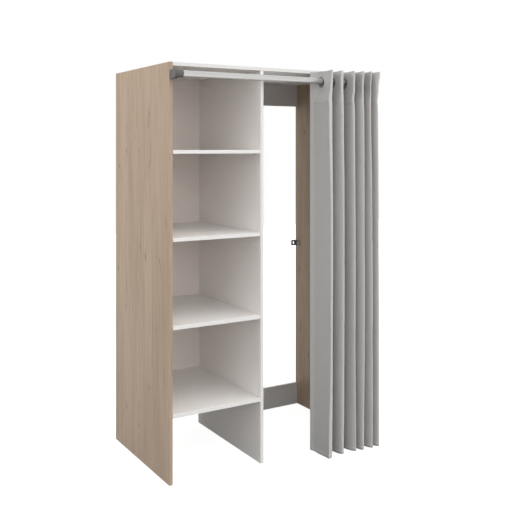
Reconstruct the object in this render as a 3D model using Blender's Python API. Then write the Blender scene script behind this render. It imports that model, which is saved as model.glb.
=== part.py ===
"""Wardrobe with an open left bay of shelves, an open right bay for hanging clothes, and a curtain on
a rod in front of both. Metres, +Z up. The front looks along -Y and the left side panel is at -X."""

import math

import bmesh
import bpy
from mathutils import Matrix, Vector

# Carcass
HEIGHT = 1.800
DEPTH = 0.626
LEFT_BAY_WIDTH = 0.437
RIGHT_BAY_WIDTH = 0.597
BOARD = 0.016
FOOT_SPACE_HEIGHT = 0.282
LOOSE_SHELVES = 3
EDGE_BEVEL = 0.0007

# Rear of the carcass
RAIL_HEIGHT = 0.118
BACK_PANEL_THICKNESS = 0.003
BACK_PANEL_INSET = 0.011
GROOVE_DEPTH = 0.006

# Gaps between pieces
SEAT_GAP = 0.0003
CUT_OVERRUN = 0.005

# Shelf pins
PIN_SHANK_RADIUS = 0.0025
PIN_SHANK_LENGTH = 0.009
PIN_COLLAR_RADIUS = 0.0042
PIN_COLLAR_LENGTH = 0.0006
PIN_STUB_RADIUS = 0.003
PIN_STUB_LENGTH = 0.009
PIN_FRONT_INSET = 0.050
PIN_REAR_INSET = 0.060

# Curtain rod. The drop is from the top of the carcass to the rod's centre line.
ROD_RADIUS = 0.014
ROD_WALL = 0.0012
ROD_DROP = 0.053
ROD_STAND_OFF = 0.050

# Rod brackets
CUP_WALL = 0.0035
CUP_LENGTH = 0.037
CUP_FLOOR = 0.004
ARM_DROP = 0.003
FLANGE_THICKNESS = 0.003
FLANGE_LENGTH = 0.036
FLANGE_SCREW_PITCH = 0.020

# Wood screws
SCREW_RADIUS = 0.002
SCREW_LENGTH = 0.012
SCREW_HEAD_RADIUS = 0.004
SCREW_HEAD_HEIGHT = 0.0022
SCREW_SLOT_WIDTH = 0.001
SCREW_SLOT_DEPTH = 0.0012
SCREW_POINT_SHARE = 0.25
SCREW_SHOULDER_SHARE = 0.5
SCREW_CROWN_SHARE = 0.5

# Angle bracket that ties the wardrobe to a wall
TIE_HEIGHT = 0.902
TIE_WIDTH = 0.030
TIE_THICKNESS = 0.002
TIE_WALL_LEG = 0.030
TIE_PANEL_LEG = 0.045
TIE_HOLE_RADIUS = 0.0045
TIE_SLOT_LENGTH = 0.014

# Curtain cloth. The top hem lies above the eyelets' centres.
CLOTH_THICKNESS = 0.002
CLOTH_ABOVE_EYELETS = 0.049
CLOTH_FLOOR_CLEARANCE = 0.005
CLOTH_TO_BOARDS_GAP = 0.0015
FRONT_FOLD_REACH = 0.072
LEADING_FLAP = 0.034
TRAILING_FLAP_LEAN = 0.002
# The shortest way along the rod from an eyelet to the next, with the curtain bunched at the right, and
# each such step, from the left, as a share of it
TIGHT_STEP = 0.016
STEP_SHARES = (1.88, 2.0, 2.19, 2.22, 1.62, 1.59, 1.5, 1.5, 1.0, 1.0, 1.0)
LAST_EYELET_TO_CUP = 0.002
# How far right of its left eyelet each front tip lies. The back tips lie between their eyelets.
FRONT_TIP_LEAN = 0.001
LAST_FRONT_TIP_LEAN = 0.020
BACK_TIP_SHARE = 0.5
# How far a fold's curve runs on straight before it turns, and how softly it turns at its tip
HANDLE_SHARE = 0.667
FREE_END_HANDLE_SHARE = 0.333
TIP_ROUNDING = 0.007
TIP_POINTS = 6
# Height of each level of the cloth, and how far its front folds reach there, as shares
LEVEL_SHARES = (0.0, 0.45, 0.93, 1.0)
REACH_SHARES = (1.03, 1.0, 0.985, 0.985)

# Eyelets in the cloth. The play is the room round the rod, and the lean is the cloth's slant at an eyelet.
EYELET_PLAY = 0.005
EYELET_BARREL_WALL = 0.0015
EYELET_FLANGE_WIDTH = 0.006
EYELET_FLANGE_THICKNESS = 0.0014
EYELET_LEAN_SHARE = 0.08
FLAT_PAST_EYELET = 0.001

# Facets round a full turn
ROD_FACETS = 32
EYELET_FACETS = 20
CUP_FACETS = 32
PIN_FACETS = 10
SCREW_FACETS = 12
ROUND_METAL_ANGLE = math.radians(40)
ROUND_CLOTH_ANGLE = math.radians(60)

# Places worked out from the sizes above, from the left panel's outer front bottom corner
WIDTH = 3 * BOARD + LEFT_BAY_WIDTH + RIGHT_BAY_WIDTH
LEFT_BAY_START = BOARD
PARTITION_START = BOARD + LEFT_BAY_WIDTH
RIGHT_BAY_START = PARTITION_START + BOARD
RIGHT_PANEL_START = WIDTH - BOARD
TOP_UNDERSIDE = HEIGHT - BOARD
BOTTOM_SHELF_TOP = FOOT_SPACE_HEIGHT + BOARD
NICHE_HEIGHT = (TOP_UNDERSIDE - BOTTOM_SHELF_TOP - LOOSE_SHELVES * BOARD) / (LOOSE_SHELVES + 1)
BACK_PANEL_FRONT = DEPTH - BACK_PANEL_INSET - BACK_PANEL_THICKNESS
SHELF_SIDE_GAP = 2 * SEAT_GAP + PIN_COLLAR_LENGTH
ROD_HEIGHT = HEIGHT - ROD_DROP
CUP_BORE = ROD_RADIUS + SEAT_GAP
CUP_RADIUS = CUP_BORE + CUP_WALL
HALF_CLOTH = CLOTH_THICKNESS / 2
EYELET_BORE_RADIUS = ROD_RADIUS + EYELET_PLAY
EYELET_BARREL_RADIUS = EYELET_BORE_RADIUS + EYELET_BARREL_WALL
EYELET_FLANGE_RADIUS = EYELET_BARREL_RADIUS + EYELET_FLANGE_WIDTH
EYELET_INNER_FACE = HALF_CLOTH + SEAT_GAP
EYELET_OUTER_FACE = EYELET_INNER_FACE + EYELET_FLANGE_THICKNESS
EYELET_HALF_WIDTH = EYELET_OUTER_FACE + EYELET_FLANGE_RADIUS * EYELET_LEAN_SHARE
EYELET_HEIGHT = ROD_HEIGHT + ROD_RADIUS + SEAT_GAP - EYELET_BORE_RADIUS
CLOTH_TOP = EYELET_HEIGHT + CLOTH_ABOVE_EYELETS
LAST_EYELET = WIDTH - CUP_LENGTH - LAST_EYELET_TO_CUP - EYELET_HALF_WIDTH
EYELETS = [LAST_EYELET - TIGHT_STEP * sum(STEP_SHARES[index:]) for index in range(len(STEP_SHARES) + 1)]
BACK_FOLD_REACH = ROD_STAND_OFF - HALF_CLOTH - CLOTH_TO_BOARDS_GAP
FRONT_REACH = ROD_STAND_OFF + FRONT_FOLD_REACH * max(REACH_SHARES) + HALF_CLOTH
ORIGIN = Vector((WIDTH / 2, (DEPTH - FRONT_REACH) / 2, 0))
RIGHTWARDS = Vector((1, 0))


def clear_scene():
    for obj in list(bpy.data.objects):
        bpy.data.objects.remove(obj, do_unlink=True)


def make_material(name, colour, roughness, metallic=0.0):
    material = bpy.data.materials.new(name)
    material.use_nodes = True
    shader = material.node_tree.nodes["Principled BSDF"]
    shader.inputs["Base Color"].default_value = (*colour, 1)
    shader.inputs["Roughness"].default_value = roughness
    shader.inputs["Metallic"].default_value = metallic
    return material


def add_object(name, bm, material, parent, location=(0, 0, 0), rotation=(0, 0, 0)):
    """Turns a bmesh into a named object under its parent."""
    mesh = bpy.data.meshes.new(name)
    bm.normal_update()
    bm.to_mesh(mesh)
    bm.free()
    obj = bpy.data.objects.new(name, mesh)
    bpy.context.scene.collection.objects.link(obj)
    obj.parent = parent
    obj.location = location
    obj.rotation_euler = rotation
    if material is not None:
        mesh.materials.append(material)
    return obj


def box(low, high):
    """A box between two corners."""
    low, high = Vector(low), Vector(high)
    bm = bmesh.new()
    bmesh.ops.create_cube(bm, size=1)
    size = high - low
    centre = (high + low) / 2
    bmesh.ops.transform(bm, matrix=Matrix.Translation(centre) @ Matrix.Diagonal((*size, 1)), verts=bm.verts)
    return bm


def turned(profile, facets, closed=False):
    """A solid turned about Z from (radius, height) points. A closed profile makes a ring."""
    bm = bmesh.new()
    rings = []
    for facet in range(facets):
        angle = 2 * math.pi * facet / facets
        rings.append([bm.verts.new((r * math.cos(angle), r * math.sin(angle), z)) for r, z in profile])
    count = len(profile)
    spans = count if closed else count - 1
    for facet, ring in enumerate(rings):
        beside = rings[(facet + 1) % facets]
        for i in range(spans):
            j = (i + 1) % count
            bm.faces.new((ring[i], beside[i], beside[j], ring[j]))
    if not closed:
        bm.faces.new([ring[0] for ring in reversed(rings)])
        bm.faces.new([ring[-1] for ring in rings])
    bmesh.ops.recalc_face_normals(bm, faces=bm.faces)
    return bm


def shade_round(obj, angle=ROUND_METAL_ANGLE):
    obj.data.shade_smooth()
    obj.data.set_sharp_from_angle(angle=angle)


def make_cutter(name, bm, parent, location=(0, 0, 0), rotation=(0, 0, 0)):
    """A helper object that only takes part in Booleans."""
    cutter = add_object(name, bm, None, parent, location, rotation)
    cutter.hide_render = True
    cutter.display_type = "WIRE"
    return cutter


def combine(obj, other, operation="DIFFERENCE"):
    boolean = obj.modifiers.new(operation.title() + " " + other.name, "BOOLEAN")
    boolean.operation = operation
    boolean.solver = "EXACT"
    boolean.object = other


def bevel_edges(obj, width):
    bevel = obj.modifiers.new("Eased edges", "BEVEL")
    bevel.width = width
    bevel.segments = 1
    bevel.limit_method = "ANGLE"


# Carcass


def make_board(name, low, high, material, parent):
    """A board between two corners, with its origin at its low corner."""
    low = Vector(low)
    board = add_object(name, box((0, 0, 0), Vector(high) - low), material, parent, low)
    bevel_edges(board, EDGE_BEVEL)
    return board


def make_upright_boards(oak, white, parent):
    """The two side panels and the partition between the bays."""
    left = make_board("left_side_panel", (0, 0, 0), (BOARD, DEPTH, HEIGHT), oak, parent)
    right = make_board("right_side_panel", (RIGHT_PANEL_START, 0, 0), (WIDTH, DEPTH, HEIGHT), oak, parent)
    partition = make_board(
        "partition",
        (PARTITION_START, 0, 0),
        (RIGHT_BAY_START, DEPTH, TOP_UNDERSIDE - SEAT_GAP),
        white,
        parent,
    )
    return left, partition, right


def make_fixed_boards(white, parent):
    """The top panel and the bottom shelf, which hold the uprights apart."""
    top = make_board(
        "top_panel",
        (LEFT_BAY_START + SEAT_GAP, 0, TOP_UNDERSIDE),
        (RIGHT_PANEL_START - SEAT_GAP, DEPTH, HEIGHT),
        white,
        parent,
    )
    bottom = make_board(
        "bottom_shelf",
        (LEFT_BAY_START + SEAT_GAP, 0, FOOT_SPACE_HEIGHT),
        (PARTITION_START - SEAT_GAP, DEPTH, BOTTOM_SHELF_TOP),
        white,
        parent,
    )
    return top, bottom


def shelf_undersides():
    first = BOTTOM_SHELF_TOP + NICHE_HEIGHT
    return [first + level * (NICHE_HEIGHT + BOARD) for level in range(LOOSE_SHELVES)]


def make_loose_shelves(white, parent):
    for number, underside in enumerate(shelf_undersides(), start=1):
        make_board(
            f"shelf_{number}",
            (LEFT_BAY_START + SHELF_SIDE_GAP, 0, underside),
            (PARTITION_START - SHELF_SIDE_GAP, BACK_PANEL_FRONT - SEAT_GAP, underside + BOARD),
            white,
            parent,
        )


def make_rear_rails(white, parent):
    front = DEPTH - BOARD
    start = RIGHT_BAY_START + SEAT_GAP
    end = RIGHT_PANEL_START - SEAT_GAP
    upper_top = TOP_UNDERSIDE - SEAT_GAP
    make_board("lower_rear_rail", (start, front, 0), (end, DEPTH, RAIL_HEIGHT), white, parent)
    make_board(
        "upper_rear_rail",
        (start, front, TOP_UNDERSIDE - RAIL_HEIGHT),
        (end, DEPTH, upper_top),
        white,
        parent,
    )


def make_back_panel(hardboard, holders, parent):
    """A thin panel in a groove that runs round the left bay's four boards."""
    tongue = GROOVE_DEPTH - SEAT_GAP
    rear = BACK_PANEL_FRONT + BACK_PANEL_THICKNESS
    low_corner = Vector((LEFT_BAY_START - tongue, BACK_PANEL_FRONT, BOTTOM_SHELF_TOP - tongue))
    high_corner = Vector((PARTITION_START + tongue, rear, TOP_UNDERSIDE + tongue))
    size = high_corner - low_corner
    add_object("back_panel", box((0, 0, 0), size), hardboard, parent, low_corner)
    margin = Vector((SEAT_GAP, SEAT_GAP, SEAT_GAP))
    groove = make_cutter("back_panel_groove", box(-margin, size + margin), parent, low_corner)
    for holder in holders:
        combine(holder, groove)


# Shelf pins


def pin_profile():
    """From the shank's end, inside the board, to the stub's end, under the shelf."""
    return [
        (PIN_SHANK_RADIUS, -PIN_SHANK_LENGTH),
        (PIN_SHANK_RADIUS, SEAT_GAP),
        (PIN_COLLAR_RADIUS, SEAT_GAP),
        (PIN_COLLAR_RADIUS, SEAT_GAP + PIN_COLLAR_LENGTH),
        (PIN_STUB_RADIUS, SEAT_GAP + PIN_COLLAR_LENGTH),
        (PIN_STUB_RADIUS, SEAT_GAP + PIN_COLLAR_LENGTH + PIN_STUB_LENGTH),
    ]


def make_pin(name, place, towards_right, holder, nickel, parent):
    """One shelf pin in a blind bore of its board. It points along X from the board's face."""
    turn = (0, math.pi / 2 if towards_right else -math.pi / 2, 0)
    pin = add_object(name, turned(pin_profile(), PIN_FACETS), nickel, parent, place, turn)
    shade_round(pin)
    bore = turned(
        [
            (PIN_SHANK_RADIUS + SEAT_GAP, -PIN_SHANK_LENGTH - SEAT_GAP),
            (PIN_SHANK_RADIUS + SEAT_GAP, CUT_OVERRUN),
        ],
        PIN_FACETS,
    )
    combine(holder, make_cutter(name + "_bore", bore, parent, place, turn))


def make_pins(left, partition, nickel, parent):
    """Four pins carry each loose shelf, which lies on their stubs between their collars."""
    rear = BACK_PANEL_FRONT - PIN_REAR_INSET
    for number, underside in enumerate(shelf_undersides(), start=1):
        height = underside - SEAT_GAP - PIN_STUB_RADIUS
        rows = (("front", PIN_FRONT_INSET), ("rear", rear))
        for row, y in rows:
            at_left = (LEFT_BAY_START, y, height)
            at_right = (PARTITION_START, y, height)
            make_pin(f"shelf_pin_{number}_left_{row}", at_left, True, left, nickel, parent)
            make_pin(f"shelf_pin_{number}_right_{row}", at_right, False, partition, nickel, parent)


# Screws


def screw_mesh():
    """A pan head above Z zero, and a shank with a point below it."""
    point = SCREW_RADIUS * SCREW_POINT_SHARE
    shoulder = SCREW_HEAD_HEIGHT * SCREW_SHOULDER_SHARE
    crown = SCREW_HEAD_RADIUS * SCREW_CROWN_SHARE
    return turned(
        [
            (point, -SCREW_LENGTH),
            (SCREW_RADIUS, -SCREW_LENGTH + SCREW_RADIUS),
            (SCREW_RADIUS, 0),
            (SCREW_HEAD_RADIUS, 0),
            (SCREW_HEAD_RADIUS, shoulder),
            (crown, SCREW_HEAD_HEIGHT),
        ],
        SCREW_FACETS,
    )


def make_screw(name, place, rotation, holders, steel, parent):
    """A slotted screw whose head rests at place. Each holder gets a hole with room for the shank."""
    screw = add_object(name, screw_mesh(), steel, parent, place, rotation)
    shade_round(screw)
    half_slot = SCREW_SLOT_WIDTH / 2
    reach = SCREW_HEAD_RADIUS + CUT_OVERRUN
    slot = box(
        (-reach, -half_slot, SCREW_HEAD_HEIGHT - SCREW_SLOT_DEPTH),
        (reach, half_slot, SCREW_HEAD_HEIGHT + CUT_OVERRUN),
    )
    combine(screw, make_cutter(name + "_slot", slot, parent, place, rotation))
    hole = turned(
        [
            (SCREW_RADIUS + SEAT_GAP, -SCREW_LENGTH - SEAT_GAP),
            (SCREW_RADIUS + SEAT_GAP, CUT_OVERRUN),
        ],
        SCREW_FACETS,
    )
    cutter = make_cutter(name + "_hole", hole, parent, place, rotation)
    for holder in holders:
        combine(holder, cutter)


# Curtain rod and its brackets


def make_rod(white_metal, parent):
    """A tube that ends inside the two cups."""
    start = CUP_FLOOR + SEAT_GAP
    length = WIDTH - 2 * start
    inner = ROD_RADIUS - ROD_WALL
    profile = [(inner, 0), (ROD_RADIUS, 0), (ROD_RADIUS, length), (inner, length)]
    rod = add_object(
        "curtain_rod",
        turned(profile, ROD_FACETS, closed=True),
        white_metal,
        parent,
        (start, -ROD_STAND_OFF, ROD_HEIGHT),
        (0, math.pi / 2, 0),
    )
    shade_round(rod)


def make_rod_bracket(name, side, panel, plastic, steel, parent):
    """A cup for the rod, an arm to the panel's front edge and a flange on its inner face.
    side is 1 at the left panel and -1 at the right one, where everything is mirrored."""
    edge = 0 if side == 1 else WIDTH

    def along(distance):
        return edge + side * distance

    def spanning(near, far):
        return sorted((along(near), along(far)))

    centre = (along(0), -ROD_STAND_OFF, ROD_HEIGHT)
    turn = (0, side * math.pi / 2, 0)
    cup = turned([(CUP_RADIUS, 0), (CUP_RADIUS, CUP_LENGTH)], CUP_FACETS)
    bracket = add_object(name, cup, plastic, parent, centre, turn)

    near, far = spanning(0, BOARD)
    arm = box(
        (near, -ROD_STAND_OFF, ROD_HEIGHT - CUP_RADIUS - ARM_DROP),
        (far, -SEAT_GAP, ROD_HEIGHT + CUP_RADIUS),
    )
    combine(bracket, make_cutter(name + "_arm", arm, parent), "UNION")

    near, far = spanning(BOARD + SEAT_GAP, BOARD + SEAT_GAP + FLANGE_THICKNESS)
    flange = box(
        (near, -ROD_STAND_OFF, ROD_HEIGHT - CUP_RADIUS),
        (far, FLANGE_LENGTH, ROD_HEIGHT + CUP_RADIUS),
    )
    combine(bracket, make_cutter(name + "_flange", flange, parent), "UNION")

    near, far = spanning(BOARD - CUT_OVERRUN, BOARD + SEAT_GAP + FLANGE_THICKNESS)
    web = box(
        (near, -ROD_STAND_OFF, ROD_HEIGHT - CUP_RADIUS),
        (far, -SEAT_GAP, ROD_HEIGHT + CUP_RADIUS),
    )
    combine(bracket, make_cutter(name + "_web", web, parent), "UNION")

    socket = turned([(CUP_BORE, CUP_FLOOR), (CUP_BORE, CUP_LENGTH + CUT_OVERRUN)], CUP_FACETS)
    combine(bracket, make_cutter(name + "_socket", socket, parent, centre, turn))
    shade_round(bracket)

    face = along(BOARD + 2 * SEAT_GAP + FLANGE_THICKNESS)
    for place, offset in (("upper", 1), ("lower", -1)):
        seat = (face, FLANGE_LENGTH / 2, ROD_HEIGHT + offset * FLANGE_SCREW_PITCH / 2)
        make_screw(f"{name}_screw_{place}", seat, turn, (bracket, panel), steel, parent)


# Wall tie


def make_wall_tie(panel, metal, steel, parent):
    """An angle bracket on the right panel's inner face at its rear edge, with a slotted wall leg."""
    low = TIE_HEIGHT - TIE_WIDTH / 2
    high = TIE_HEIGHT + TIE_WIDTH / 2
    face = RIGHT_PANEL_START - SEAT_GAP
    tie = add_object(
        "wall_tie_bracket",
        box((face - TIE_THICKNESS, DEPTH - TIE_PANEL_LEG, low), (face, DEPTH, high)),
        metal,
        parent,
    )
    wall_leg = box((face - TIE_WALL_LEG, DEPTH - TIE_THICKNESS, low), (face, DEPTH, high))
    combine(tie, make_cutter("wall_tie_leg", wall_leg, parent), "UNION")

    slot_centre = Vector((face - TIE_WALL_LEG / 2, DEPTH, TIE_HEIGHT))
    straight = TIE_SLOT_LENGTH / 2 - TIE_HOLE_RADIUS
    through = TIE_THICKNESS + CUT_OVERRUN
    for place, offset in (("upper", straight), ("lower", -straight)):
        end = turned([(TIE_HOLE_RADIUS, -through), (TIE_HOLE_RADIUS, through)], SCREW_FACETS)
        spot = slot_centre + Vector((0, 0, offset))
        combine(tie, make_cutter(f"wall_tie_slot_{place}", end, parent, spot, (math.pi / 2, 0, 0)))
    middle = box((-TIE_HOLE_RADIUS, -through, -straight), (TIE_HOLE_RADIUS, through, straight))
    combine(tie, make_cutter("wall_tie_slot_middle", middle, parent, slot_centre))

    seat = (face - TIE_THICKNESS - SEAT_GAP, DEPTH - TIE_PANEL_LEG + TIE_WIDTH / 2, TIE_HEIGHT)
    make_screw("wall_tie_screw", seat, (0, -math.pi / 2, 0), (tie, panel), steel, parent)


# Curtain


def curve_points(start, start_pull, end, end_pull, count):
    """Points after start, up to end, on a cubic curve. The pulls are its handles, as vectors."""
    first = start + start_pull
    second = end + end_pull
    points = []
    for i in range(1, count + 1):
        t = i / count
        rest = 1 - t
        points.append(
            start * rest**3 + first * (3 * rest**2 * t) + second * (3 * rest * t**2) + end * t**3
        )
    return points


def half_fold(eyelet, end, forward, leftwards, free_end=False):
    """Plan points from an eyelet's centre to the fold's tip, which lies at end."""
    side = -1 if leftwards else 1
    heading = Vector((side * EYELET_LEAN_SHARE, -1 if forward else 1))
    centre = Vector((eyelet, -ROD_STAND_OFF))
    flat = centre + heading * (EYELET_FLANGE_RADIUS + FLAT_PAST_EYELET)
    start_pull = heading * abs(end.y - flat.y) * HANDLE_SHARE
    if free_end:
        end_pull = (flat - end) * FREE_END_HANDLE_SHARE
    else:
        end_pull = RIGHTWARDS * (-side * TIP_ROUNDING)
    return [centre, flat] + curve_points(flat, start_pull, end, end_pull, TIP_POINTS)


def fold_ends(index, reach_share):
    """Plan places of the left and right end of the cloth round one eyelet, and their side."""
    front = -ROD_STAND_OFF - FRONT_FOLD_REACH * reach_share
    back = -ROD_STAND_OFF + BACK_FOLD_REACH
    left_forward = index % 2 == 1
    half_gap = SEAT_GAP / 2

    def tip(before, forward):
        if not forward:
            step = EYELETS[before + 1] - EYELETS[before]
            return Vector((EYELETS[before] + step * BACK_TIP_SHARE, back))
        is_last = before == len(STEP_SHARES) - 1
        return Vector((EYELETS[before] + (LAST_FRONT_TIP_LEAN if is_last else FRONT_TIP_LEAN), front))

    if index == 0:
        left = Vector((EYELETS[0] - LEADING_FLAP, back))
    else:
        left = tip(index - 1, left_forward) + RIGHTWARDS * half_gap
    if index == len(EYELETS) - 1:
        right = Vector((EYELETS[index] + TRAILING_FLAP_LEAN, back))
    else:
        right = tip(index, not left_forward) - RIGHTWARDS * half_gap
    return left, right, left_forward


def fold_path(index, reach_share):
    """Plan line of the cloth round one eyelet, from its left end to its right end."""
    left, right, left_forward = fold_ends(index, reach_share)
    last = index == len(EYELETS) - 1
    towards_left = half_fold(EYELETS[index], left, left_forward, True, index == 0)
    towards_right = half_fold(EYELETS[index], right, not left_forward, False, last)
    return towards_left[:0:-1] + towards_right


def line_runs(points, index):
    """The way the line runs at each point: straight along the rod where two folds meet at a tip."""
    runs = []
    for i in range(len(points)):
        before = points[max(i - 1, 0)]
        after = points[min(i + 1, len(points) - 1)]
        runs.append((after - before).normalized())
    if index > 0:
        runs[0] = RIGHTWARDS
    if index < len(EYELETS) - 1:
        runs[-1] = RIGHTWARDS
    return runs


def offset_line(points, runs, distance):
    """The line moved sideways by distance, to its left as it runs."""
    return [point + Vector((-run.y, run.x)) * distance for point, run in zip(points, runs)]


def cloth_mesh(index):
    """The fold's cloth as a closed wall between its two faces, relative to the eyelet's centre."""
    centre = Vector((EYELETS[index], -ROD_STAND_OFF, EYELET_HEIGHT))
    bm = bmesh.new()
    levels = []
    for height_share, reach_share in zip(LEVEL_SHARES, REACH_SHARES):
        z = CLOTH_FLOOR_CLEARANCE + height_share * (CLOTH_TOP - CLOTH_FLOOR_CLEARANCE)
        path = fold_path(index, reach_share)
        runs = line_runs(path, index)
        near = offset_line(path, runs, -HALF_CLOTH)
        outline = offset_line(path, runs, HALF_CLOTH) + near[::-1]
        levels.append([bm.verts.new(Vector((p.x, p.y, z)) - centre) for p in outline])
    count = len(levels[0])
    for low, high in zip(levels, levels[1:]):
        for i in range(count):
            j = (i + 1) % count
            bm.faces.new((low[i], low[j], high[j], high[i]))
    for level in (levels[0], levels[-1]):
        for i in range(count // 2 - 1):
            bm.faces.new((level[i], level[i + 1], level[count - 2 - i], level[count - 1 - i]))
    bmesh.ops.recalc_face_normals(bm, faces=bm.faces)
    return bm


def eyelet_profile():
    """A spool: a barrel through the cloth between two flanges with eased rims."""
    rim = EYELET_FLANGE_RADIUS
    eased = rim - EYELET_FLANGE_THICKNESS / 2
    return [
        (EYELET_BORE_RADIUS, -EYELET_OUTER_FACE),
        (eased, -EYELET_OUTER_FACE),
        (rim, -EYELET_INNER_FACE),
        (EYELET_BARREL_RADIUS, -EYELET_INNER_FACE),
        (EYELET_BARREL_RADIUS, EYELET_INNER_FACE),
        (rim, EYELET_INNER_FACE),
        (eased, EYELET_OUTER_FACE),
        (EYELET_BORE_RADIUS, EYELET_OUTER_FACE),
    ]


def make_fold(index, fabric, metal, parent):
    """One fold of the curtain: the cloth round an eyelet, and the eyelet, on the rod's centre line."""
    number = f"{index + 1:02d}"
    centre = (EYELETS[index], -ROD_STAND_OFF, EYELET_HEIGHT)
    lean = math.atan(EYELET_LEAN_SHARE)
    turn = (0, math.pi / 2, lean if index % 2 == 0 else -lean)
    eyelet = add_object(
        f"eyelet_{number}",
        turned(eyelet_profile(), EYELET_FACETS, closed=True),
        metal,
        parent,
        centre,
        turn,
    )
    shade_round(eyelet)
    cloth = add_object(f"curtain_cloth_{number}", cloth_mesh(index), fabric, parent, centre)
    hole_radius = EYELET_BARREL_RADIUS + SEAT_GAP
    through = CLOTH_THICKNESS + CUT_OVERRUN
    hole = turned([(hole_radius, -through), (hole_radius, through)], EYELET_FACETS)
    combine(cloth, make_cutter(f"eyelet_hole_{number}", hole, parent, centre, turn))
    shade_round(cloth, ROUND_CLOTH_ANGLE)


def build_wardrobe():
    clear_scene()
    origin = bpy.data.objects.new("wardrobe_origin", None)
    bpy.context.scene.collection.objects.link(origin)
    origin.location = -ORIGIN

    oak = make_material("oak_decor", (0.49, 0.37, 0.27), 0.6)
    white = make_material("white_decor", (0.80, 0.80, 0.79), 0.45)
    hardboard = make_material("white_hardboard", (0.74, 0.73, 0.71), 0.6)
    nickel = make_material("nickel_pin", (0.60, 0.60, 0.58), 0.3, 1.0)
    steel = make_material("screw_steel", (0.55, 0.55, 0.54), 0.35, 1.0)
    tube = make_material("satin_tube", (0.78, 0.78, 0.77), 0.35, 0.4)
    plastic = make_material("grey_plastic", (0.15, 0.15, 0.15), 0.5)
    tie_metal = make_material("dark_tie_steel", (0.14, 0.13, 0.12), 0.4, 0.8)
    ring_metal = make_material("eyelet_metal", (0.42, 0.42, 0.41), 0.35, 1.0)
    fabric = make_material("grey_cloth", (0.46, 0.45, 0.44), 0.9)

    left, partition, right = make_upright_boards(oak, white, origin)
    top, bottom = make_fixed_boards(white, origin)
    make_back_panel(hardboard, (left, partition, top, bottom), origin)
    make_loose_shelves(white, origin)
    make_rear_rails(white, origin)
    make_pins(left, partition, nickel, origin)
    make_rod(tube, origin)
    make_rod_bracket("left_rod_bracket", 1, left, plastic, steel, origin)
    make_rod_bracket("right_rod_bracket", -1, right, plastic, steel, origin)
    make_wall_tie(right, tie_metal, steel, origin)
    for index in range(len(EYELETS)):
        make_fold(index, fabric, ring_metal, origin)


build_wardrobe()
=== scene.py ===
"""Looks of the curtain wardrobe: oak and white decor boards, rod, fittings and the hung curtain."""

import math

import bmesh
import bpy
from mathutils import Matrix, Vector, noise


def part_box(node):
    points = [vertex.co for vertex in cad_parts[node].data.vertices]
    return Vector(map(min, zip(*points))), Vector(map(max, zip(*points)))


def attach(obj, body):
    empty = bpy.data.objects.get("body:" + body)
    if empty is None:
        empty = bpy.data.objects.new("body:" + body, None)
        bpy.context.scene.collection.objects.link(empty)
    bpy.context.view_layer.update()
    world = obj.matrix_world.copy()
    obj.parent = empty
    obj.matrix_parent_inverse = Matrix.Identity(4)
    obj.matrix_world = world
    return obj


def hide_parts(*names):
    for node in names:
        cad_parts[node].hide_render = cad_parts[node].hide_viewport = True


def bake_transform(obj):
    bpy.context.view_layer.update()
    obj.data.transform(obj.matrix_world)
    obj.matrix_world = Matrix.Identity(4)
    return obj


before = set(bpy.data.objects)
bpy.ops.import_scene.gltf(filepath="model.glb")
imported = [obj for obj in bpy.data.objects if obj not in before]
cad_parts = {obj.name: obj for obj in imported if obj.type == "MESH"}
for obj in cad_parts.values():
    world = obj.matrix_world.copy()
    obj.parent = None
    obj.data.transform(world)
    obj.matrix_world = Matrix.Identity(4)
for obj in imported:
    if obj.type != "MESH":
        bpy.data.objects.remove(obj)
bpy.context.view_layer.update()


def corners_of(node):
    """The low and the high corner of a solid's box."""
    return [Vector(corner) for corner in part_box(node)]


# Places on the solids, in metres
CORNER = corners_of("left_side_panel")[0]
RIGHT_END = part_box("right_side_panel")[1][0]
ROD_LOW, ROD_HIGH = corners_of("curtain_rod")
ROD_RADIUS = (ROD_HIGH.z - ROD_LOW.z) / 2
ROD_Y = (ROD_HIGH.y + ROD_LOW.y) / 2
ROD_Z = (ROD_HIGH.z + ROD_LOW.z) / 2
ROD_WALL = 0.0012
BOARD = 0.016
SEAT_GAP = 0.0003
CUP_WALL = 0.0035
CUP_LENGTH = 0.037
SCREW_HEAD = 0.0022
PIN_SHANK = 0.009
PLATE_WALL = 0.003
PLATE_DEPTH = 0.036
PLATE_CORNER = 0.007
TIE_WALL = 0.002
TIE_BEND = 0.0035
TIE_CORNER = 0.005
SLOT_RADIUS = 0.0045
SLOT_STRETCH = 0.0025
SCREW_HOLE = 0.0023
SIDES = (("left", 1), ("right", -1))

# Curtain, as it hangs bunched at the right
FOLDS = 12
RING_BOXES = [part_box(f"eyelet_{number:02d}") for number in range(1, FOLDS + 1)]
RINGS = [(low[0] + high[0]) / 2 for low, high in RING_BOXES]
RING_Z = (RING_BOXES[0][0][2] + RING_BOXES[0][1][2]) / 2
CLOTH_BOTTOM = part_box("curtain_cloth_01")[0][2]
CLOTH_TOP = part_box("curtain_cloth_01")[1][2]
CLOTH_WALL = 0.0015
HEM_WALL = 0.0022
HEADER_SEAM = CLOTH_TOP - 0.150
BOTTOM_SEAM = CLOTH_BOTTOM + 0.015
SIDE_HEM = 0.020

# Its folds in plan, from the leading one to the last
BACK_REACH = 0.0475
LEADING_FLAP = 0.0325
TRAILING_LEAN = 0.002
FOLD_ROUNDINGS = (0.009, 0.0185, 0.0195, 0.027, 0.027, 0.025)
FRONT_LEANS = (0.0045, 0.0175, 0.0145, 0.0135, 0.0095, 0.020)
FRONT_REACHES = (0.072, 0.060, 0.063, 0.069, 0.072, 0.072)
BACK_ROUNDING = 0.006
ROUND_PULL = 0.56
LEAN = 0.08
FLAT_REACH = 0.0275
FLAT_LOSS = 0.018

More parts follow.
